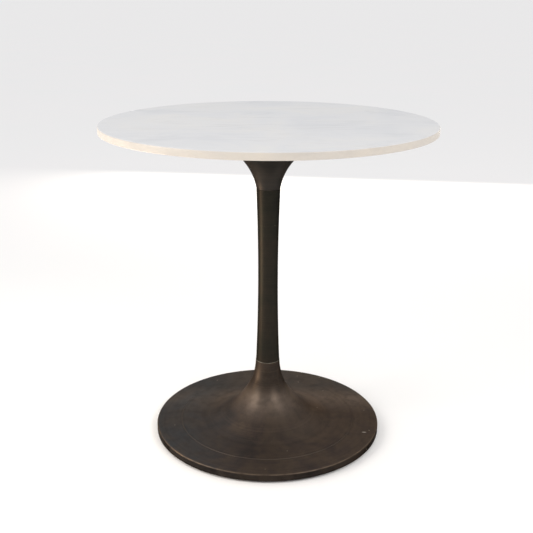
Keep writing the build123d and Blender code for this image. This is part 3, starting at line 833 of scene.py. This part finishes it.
# painted shade: the neck's tones are darker than the base's
NECK_SHADED_TONES = ("#2F2E2C", "#34312E", "#38332F", "#35312D")
stands_for(neck, "neck", bronze_patina(
    "shaded_bronze_patina_on_neck", NECK_SHADED_TONES, 0.14, [
        (NECK_FOOT[0], column_high.z, "#4B463F", 1.0 * MM),
        (FLANGE_RADIUS, neck_high.z - FLANGE_ROUND, "#5A4F45", 2.0 * MM)], pitted=0.1))
print("neck faces", len(neck.data.polygons))

# %% [markdown]
# ## Threads and hexagons
# A rolled thread is a ridge wound round a core. One small triangle is screwed upwards with the Screw
# modifier, its ends are closed, and it is welded to a turned core. A hexagon of a bolt or nut has its
# corners cut to a cone, so the hexagon is met with a turned barrel, which leaves the curved chamfers.

# %% Thread and hexagon tools
THREAD_STEPS = 32
THREAD_DEPTH = 0.6  # of the pitch, from crest to root
RIDGE_HALF_WIDTH = 0.42  # of the pitch
CHAMFERED = 0.98  # the round face at a hexagon's end, as a part of its width across flats
print("a thread has", THREAD_STEPS, "steps in a turn")


def threaded(name, core_rings, crest, pitch, start, end, place=(0, 0)):
    """A turned core with a rolled thread of one crest radius wound on it from start to end."""
    depth = THREAD_DEPTH * pitch
    core = turn(name, core_rings, corners=THREAD_STEPS, place=place)
    start_clean()
    bpy.ops.mesh.primitive_circle_add(vertices=4, radius=depth, location=(crest - depth, 0, start))
    ridge = bpy.context.object
    edit_all()
    # the flat diamond is stood up so that its points face the axis, the crest and along the thread
    bpy.ops.transform.rotate(value=pi / 2, orient_axis="X", center_override=(crest - depth, 0, start))
    bpy.ops.transform.resize(
        value=(1, 1, RIDGE_HALF_WIDTH * pitch / depth), center_override=(crest - depth, 0, start))
    bpy.ops.object.mode_set(mode="OBJECT")
    bpy.ops.object.transform_apply(location=True, rotation=True, scale=True)
    winding = ridge.modifiers.new("winding", "SCREW")
    winding.axis = "Z"
    winding.screw_offset = pitch
    winding.iterations = max(1, int((end - start) / pitch))
    winding.steps = THREAD_STEPS
    winding.render_steps = THREAD_STEPS
    winding.use_merge_vertices = False
    bpy.ops.object.modifier_apply(modifier=winding.name)
    edit_all()
    bpy.ops.mesh.fill_holes(sides=0)
    bpy.ops.transform.translate(value=(*place, 0))
    bpy.ops.object.mode_set(mode="OBJECT")
    finish_shape(ridge, "ridge")
    return finish_shape(combine(core, ridge, "UNION"), name, smooth_below=30)


def hexagon(name, across_flats, bottom, top, place=(0, 0), ease_top=True):
    """A hexagonal block whose corners are cut to a cone at either end."""
    corner = across_flats / 2 / cos(radians(30))
    end_radius = CHAMFERED * across_flats / 2
    ease = (corner - end_radius) * tan(radians(30))
    start_clean()
    bpy.ops.mesh.primitive_cylinder_add(
        vertices=6, radius=corner, depth=top - bottom, location=(*place, (top + bottom) / 2))
    block = finish_shape(bpy.context.object, name)
    barrel = [(end_radius, bottom), (corner, bottom + ease)]
    if ease_top:
        barrel += [(corner, top - ease), (end_radius, top)]
    else:
        barrel += [(corner * 1.1, top + 1 * MM)]
    combine(block, turn("barrel", barrel, corners=96, place=place), "INTERSECT")
    return finish_shape(block, name, smooth_below=20)


# %% Flange bolts and washers
bolts_low, bolts_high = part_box("flange_bolts")
washers_low, washers_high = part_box("flange_washers")
BOLT_SHANK = 3.9 * MM
BOLT_FLATS = 13.0 * MM
BOLT_PITCH = 1.25 * MM
FLANGE_WASHER_RADIUS = 8.0 * MM
head_top = washers_low.z
root = BOLT_SHANK - THREAD_DEPTH * BOLT_PITCH
bolt = threaded("bolt", [
    (root, head_top - 1 * MM),
    (root, bolts_high.z - 1 * MM),
    (root - 0.6 * MM, bolts_high.z)],
    BOLT_SHANK, BOLT_PITCH, head_top + 1 * MM, bolts_high.z - 2 * MM, bolt_place)
head = hexagon("head", BOLT_FLATS, bolts_low.z, head_top, bolt_place, ease_top=False)
bolt = in_triangles(finish_shape(combine(bolt, head, "UNION"), "bolt", smooth_below=30))
for twin in copies_round(bolt, "flange_bolt"):
    stands_for(twin, "flange_bolts", zinc)


def washer(name, outer, hole_radius, bottom, top, place=(0, 0)):
    """A stamped washer: one edge rolls over a little where the punch entered."""
    roll = 0.25 * (top - bottom)
    return turn(name, [
        (hole_radius, bottom + roll / 2),
        (hole_radius + roll / 2, bottom),
        (outer - roll, bottom),
        (outer - roll * 0.3, bottom + roll * 0.3),
        (outer, bottom + roll),
        (outer, top - 0.1 * roll),
        (outer - 0.1 * roll, top),
        (hole_radius + 0.1 * roll, top),
        (hole_radius, top - 0.1 * roll)], corners=64, closed=True, place=place)


flange_washer = washer("washer", FLANGE_WASHER_RADIUS, BOLT_HOLE, washers_low.z, washers_high.z, bolt_place)
for twin in copies_round(flange_washer, "flange_washer"):
    stands_for(twin, "flange_washers", zinc)

# %% [markdown]
# ## The tie rod
# One M12 rod pulls the neck and the base together through the column. Only its ends are threaded, and
# each carries a nut and a washer. The lower nut also has a split spring washer, which is a square bar
# wound into one turn, so it is spun from a square section and its two ends are closed.

# %% Rod, nuts and washers
rod_low, rod_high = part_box("tie_rod")
ROD_RADIUS = 5.9 * MM
ROD_PITCH = 1.75 * MM
ROD_EASE = 1.0 * MM
THREADED_END = 32.0 * MM
ROD_NUT_FLATS = 18.0 * MM
rod_root = ROD_RADIUS - THREAD_DEPTH * ROD_PITCH

rod = threaded("tie_rod_threaded", [
    (rod_root - ROD_EASE, rod_low.z),
    (rod_root, rod_low.z + ROD_EASE),
    (rod_root, rod_low.z + THREADED_END),
    (ROD_RADIUS - 0.1 * MM, rod_low.z + THREADED_END + ROD_EASE),
    (ROD_RADIUS - 0.1 * MM, rod_high.z - THREADED_END - ROD_EASE),
    (rod_root, rod_high.z - THREADED_END),
    (rod_root, rod_high.z - ROD_EASE),
    (rod_root - ROD_EASE, rod_high.z)],
    ROD_RADIUS, ROD_PITCH, rod_low.z + 1.5 * MM, rod_low.z + THREADED_END)
upper_end = threaded("upper_end", [
    (rod_root - 0.2 * MM, rod_high.z - THREADED_END - 1 * MM),
    (rod_root - 0.2 * MM, rod_high.z - ROD_EASE)],
    ROD_RADIUS, ROD_PITCH, rod_high.z - THREADED_END, rod_high.z - 1.5 * MM)
rod = in_triangles(finish_shape(combine(rod, upper_end, "UNION"), "tie_rod_threaded", 30))
stands_for(rod, "tie_rod", zinc)
print("rod faces", len(rod.data.polygons))

for node in ("upper_nut", "lower_nut"):
    low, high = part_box(node)
    nut = hexagon(node + "_chamfered", ROD_NUT_FLATS, low.z, high.z)
    bore = turn("bore", [
        (ROD_RADIUS + 0.8 * MM, low.z - 0.01 * MM),
        (ROD_RADIUS + 0.05 * MM, low.z + 0.75 * MM),
        (ROD_RADIUS + 0.05 * MM, high.z - 0.75 * MM),
        (ROD_RADIUS + 0.8 * MM, high.z + 0.01 * MM)], corners=48)
    nut = finish_shape(combine(nut, bore, "DIFFERENCE"), node + "_chamfered", smooth_below=20)
    stands_for(nut, node, zinc)

for node in ("upper_washer", "lower_washer"):
    low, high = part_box(node)
    ring = washer(node + "_stamped", high.y, ROD_HOLE, low.z, high.z)
    stands_for(ring, node, zinc)

# %% Spring washer
spring_low, spring_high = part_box("spring_washer")
SPRING_OUTER = 10.4 * MM
SPRING_GAP = 2.0 * MM
SPRING_EASE = 0.3 * MM
bar_middle = (ROD_HOLE + SPRING_OUTER) / 2
gap_angle = SPRING_GAP / bar_middle
start_clean()
bpy.ops.mesh.primitive_plane_add(size=1, location=(bar_middle, 0, (spring_low.z + spring_high.z) / 2))
spring = bpy.context.object
edit_all()
middle = spring.location
bpy.ops.transform.rotate(value=pi / 2, orient_axis="X", center_override=middle)
bpy.ops.transform.resize(
    value=(SPRING_OUTER - ROD_HOLE, 1, spring_high.z - spring_low.z), center_override=middle)
bpy.ops.mesh.bevel(offset=SPRING_EASE, segments=2, affect="VERTICES")
bpy.ops.transform.rotate(value=-gap_angle / 2, orient_axis="Z", center_override=(0, 0, 0))
bpy.ops.mesh.spin(steps=72, angle=2 * pi - gap_angle, center=(0, 0, 0), axis=(0, 0, 1), dupli=False)
bpy.ops.mesh.select_all(action="SELECT")
bpy.ops.mesh.fill_holes(sides=0)
finish_shape(spring, "split_spring_washer", smooth_below=30)
stands_for(spring, "spring_washer", zinc)
print("spring washer spans", [round(v / MM, 2) for v in spring.dimensions])

# %% [markdown]
# ## The levelling glides
# Each glide is a threaded stem with a hexagon for a spanner, and a round button under it that snaps
# into a nylon pad. The pad stays still on the floor while the stem turns and climbs in its boss.

# %% Glide stem
stem_low, stem_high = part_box("glide_stem_1")
STEM_PITCH = 1.25 * MM
STEM_CREST = 3.93 * MM
STEM_ROOT = STEM_CREST - THREAD_DEPTH * STEM_PITCH
BUTTON_RADIUS = 6.5 * MM
BUTTON_TOP = 4.2 * MM
BUTTON_EASE = 0.3 * MM
STEM_NECK = 3.5 * MM
HEX_FLATS = 13.0 * MM
HEX_BOTTOM = 6.3 * MM
HEX_TOP = 10.3 * MM

stem = threaded("stem", [
    (BUTTON_RADIUS - BUTTON_EASE, stem_low.z),
    (BUTTON_RADIUS, stem_low.z + BUTTON_EASE),
    (BUTTON_RADIUS, BUTTON_TOP - BUTTON_EASE),
    (BUTTON_RADIUS - BUTTON_EASE, BUTTON_TOP),
    (STEM_NECK, BUTTON_TOP),
    (STEM_NECK, HEX_TOP - 1 * MM),
    (STEM_ROOT, HEX_TOP),
    (STEM_ROOT, stem_high.z - 0.6 * MM),
    (STEM_ROOT - 0.6 * MM, stem_high.z)],
    STEM_CREST, STEM_PITCH, HEX_TOP + 0.4 * MM, stem_high.z - 0.6 * MM, glide_place)
spanner_hex = hexagon("spanner_hex", HEX_FLATS, HEX_BOTTOM, HEX_TOP, glide_place)
stem = in_triangles(finish_shape(combine(stem, spanner_hex, "UNION"), "stem", smooth_below=30))
for number, twin in enumerate(copies_round(stem, "levelling_stem"), 1):
    stands_for(twin, f"glide_stem_{number}", zinc)

# %% Glide pad
pad_low, pad_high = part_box("glide_pad_1")
PAD_RADIUS = 16.0 * MM
PAD_TOP_ROUND = 2.0 * MM
PAD_BOTTOM_ROUND = 0.8 * MM
POCKET = 6.75 * MM
POCKET_FLOOR = 2.25 * MM
POCKET_ROOF = 4.45 * MM
NECK_HOLE = 3.58 * MM
LIP_EASE = 0.4 * MM
GROOVE = 0.4 * MM
TOP_GROOVE = (9.0 * MM, 9.3 * MM, 10.3 * MM, 10.6 * MM)
SOLE_GROOVE = (13.2 * MM, 12.8 * MM, 8.2 * MM, 7.8 * MM)

rings = [(POCKET, pad_low.z + POCKET_FLOOR), (POCKET, pad_low.z + POCKET_ROOF)]
rings += [(NECK_HOLE, pad_low.z + POCKET_ROOF), (NECK_HOLE, pad_high.z - LIP_EASE)]
rings += [(NECK_HOLE + LIP_EASE, pad_high.z)]
# a moulded groove round the top, where the mould's insert met it
rings += [(radius, pad_high.z - sunk) for radius, sunk in zip(TOP_GROOVE, (0, GROOVE, GROOVE, 0))]
rings += arc((PAD_RADIUS - PAD_TOP_ROUND, pad_high.z - PAD_TOP_ROUND), PAD_TOP_ROUND, 90, 0, 8)
rings += arc((PAD_RADIUS - PAD_BOTTOM_ROUND, pad_low.z + PAD_BOTTOM_ROUND), PAD_BOTTOM_ROUND, 0, -90, 4)
# a shallow ring in the sole leaves two bands that touch the floor
rings += [(radius, pad_low.z + sunk) for radius, sunk in zip(SOLE_GROOVE, (0, GROOVE, GROOVE, 0))]
pad = turn("pad", rings, corners=96, place=glide_place)
for number, twin in enumerate(copies_round(pad, "nylon_pad"), 1):
    stands_for(twin, f"glide_pad_{number}", nylon)

# %% [markdown]
# ## Studio
# A pale floor and soft light from two tall windows, a low warm card at the left, a low panel behind
# and the bright air all round. A flared surface shows each light as a soft streak. The panels shine
# only forwards, so the floor behind the low panel is less bright than the rest.

# %% Floor
FLOOR_SPAN = 600
start_clean()
bpy.ops.mesh.primitive_plane_add(size=FLOOR_SPAN, location=(0, 0, 0))
floor = bpy.context.object
floor.name = "studio_floor"
floor_paint, tree, place = empty_finish("pale_matt_floor")
tone = add(tree, "ShaderNodeTexNoise", {"Vector": place, "Scale": spots(900), "Detail": 2.0})
body = add(tree, "ShaderNodeValToRGB", {"Fac": tone}, stops=[(0.3, "#F8F7F5"), (0.7, "#F9F7F5")])
shader = add(tree, "ShaderNodeBsdfPrincipled", {
    "Base Color": body, "Roughness": 0.9, "Specular IOR Level": 0.0})
add(tree, "ShaderNodeOutputMaterial", {"Surface": shader})
floor.data.materials.append(floor_paint)
print("floor", FLOOR_SPAN, "m across")

# %% Lights
AIM_HEIGHT = 0.4


def softbox(name, azimuth, distance, height, width, tall, brightness, code):
    """A soft light that faces the table. Azimuth 0 is at the camera, positive to its right."""
    a = radians(azimuth)
    place = (distance * sin(a), -distance * cos(a), height)
    start_clean()
    bpy.ops.object.light_add(type="AREA", location=place)
    light = bpy.context.object
    light.name = name
    light.data.shape = "RECTANGLE"
    light.data.size = width
    light.data.size_y = tall
    # a panel's power for a given brightness grows with its area
    light.data.energy = brightness * pi * width * tall
    light.data.color = colour(code)[:3]
    # the panels light the table from all views, and are left out of the pictures
    light.visible_camera = False
    aim = [-place[0], -place[1], AIM_HEIGHT - place[2]]
    light.rotation_euler = (atan2(hypot(aim[0], aim[1]), -aim[2]), 0, atan2(aim[1], aim[0]) - pi / 2)
    print(name, round(light.data.energy, 1), "W")


softbox("window_left", -64, 1.9, 1.25, 0.95, 1.2, 5.2, "#FFFAF2")
softbox("card_left_low", -82, 1.15, 0.11, 0.50, 0.20, 24.0, "#FFE8CC")
softbox("window_right", 40, 2.3, 1.85, 1.20, 1.0, 5.6, "#FFFCF8")
# this one stands lower than the table top, so it glows on the base and not in the marble
softbox("panel_back_low", 172, 3.0, 0.50, 2.6, 0.45, 5.0, "#FFF6EA")

# the air is warm near the horizon, cooler and a little brighter overhead
HORIZON, OVERHEAD = 0.80, 0.96
air_world = bpy.data.worlds.new("studio_air")
air_world.use_nodes = True
air = air_world.node_tree
air.nodes.clear()
way = add(air, "ShaderNodeTexCoord", {}).outputs["Generated"]
upward = add(air, "ShaderNodeSeparateXYZ", {"Vector": way}).outputs["Z"]
tint = add(air, "ShaderNodeValToRGB", {"Fac": upward}, stops=[(0.0, "#FFFCF8"), (0.9, "#F8FAFF")])
glow = add(air, "ShaderNodeMapRange", {"Value": upward, "To Min": HORIZON, "To Max": OVERHEAD})
sky = add(air, "ShaderNodeBackground", {"Color": tint, "Strength": glow})
add(air, "ShaderNodeOutputWorld", {"Surface": sky})
bpy.context.scene.world = air_world
bpy.context.scene.view_settings.view_transform = "Standard"
print("lights:", len(bpy.data.lights))

# %% [markdown]
# ## Camera
# It stands a little above table height and looks down by 18 degrees from just under 2 m away. It was
# held very slightly out of level.

# %% Camera
CAMERA_HEIGHT = 1.0429
CAMERA_DISTANCE = 1.9152
CAMERA_SIDE = -0.0037
CAMERA_PITCH = 18.058
CAMERA_ROLL = 0.201
CAMERA_LENS = 57.109
start_clean()
bpy.ops.object.camera_add(location=(CAMERA_SIDE, -CAMERA_DISTANCE, CAMERA_HEIGHT))
camera = bpy.context.object
camera.rotation_mode = "ZYX"
camera.rotation_euler = (radians(90 - CAMERA_PITCH), 0, radians(CAMERA_ROLL))
camera.data.sensor_width = 36
camera.data.lens = CAMERA_LENS
bpy.context.scene.camera = camera
print("camera", [round(v, 3) for v in camera.location])
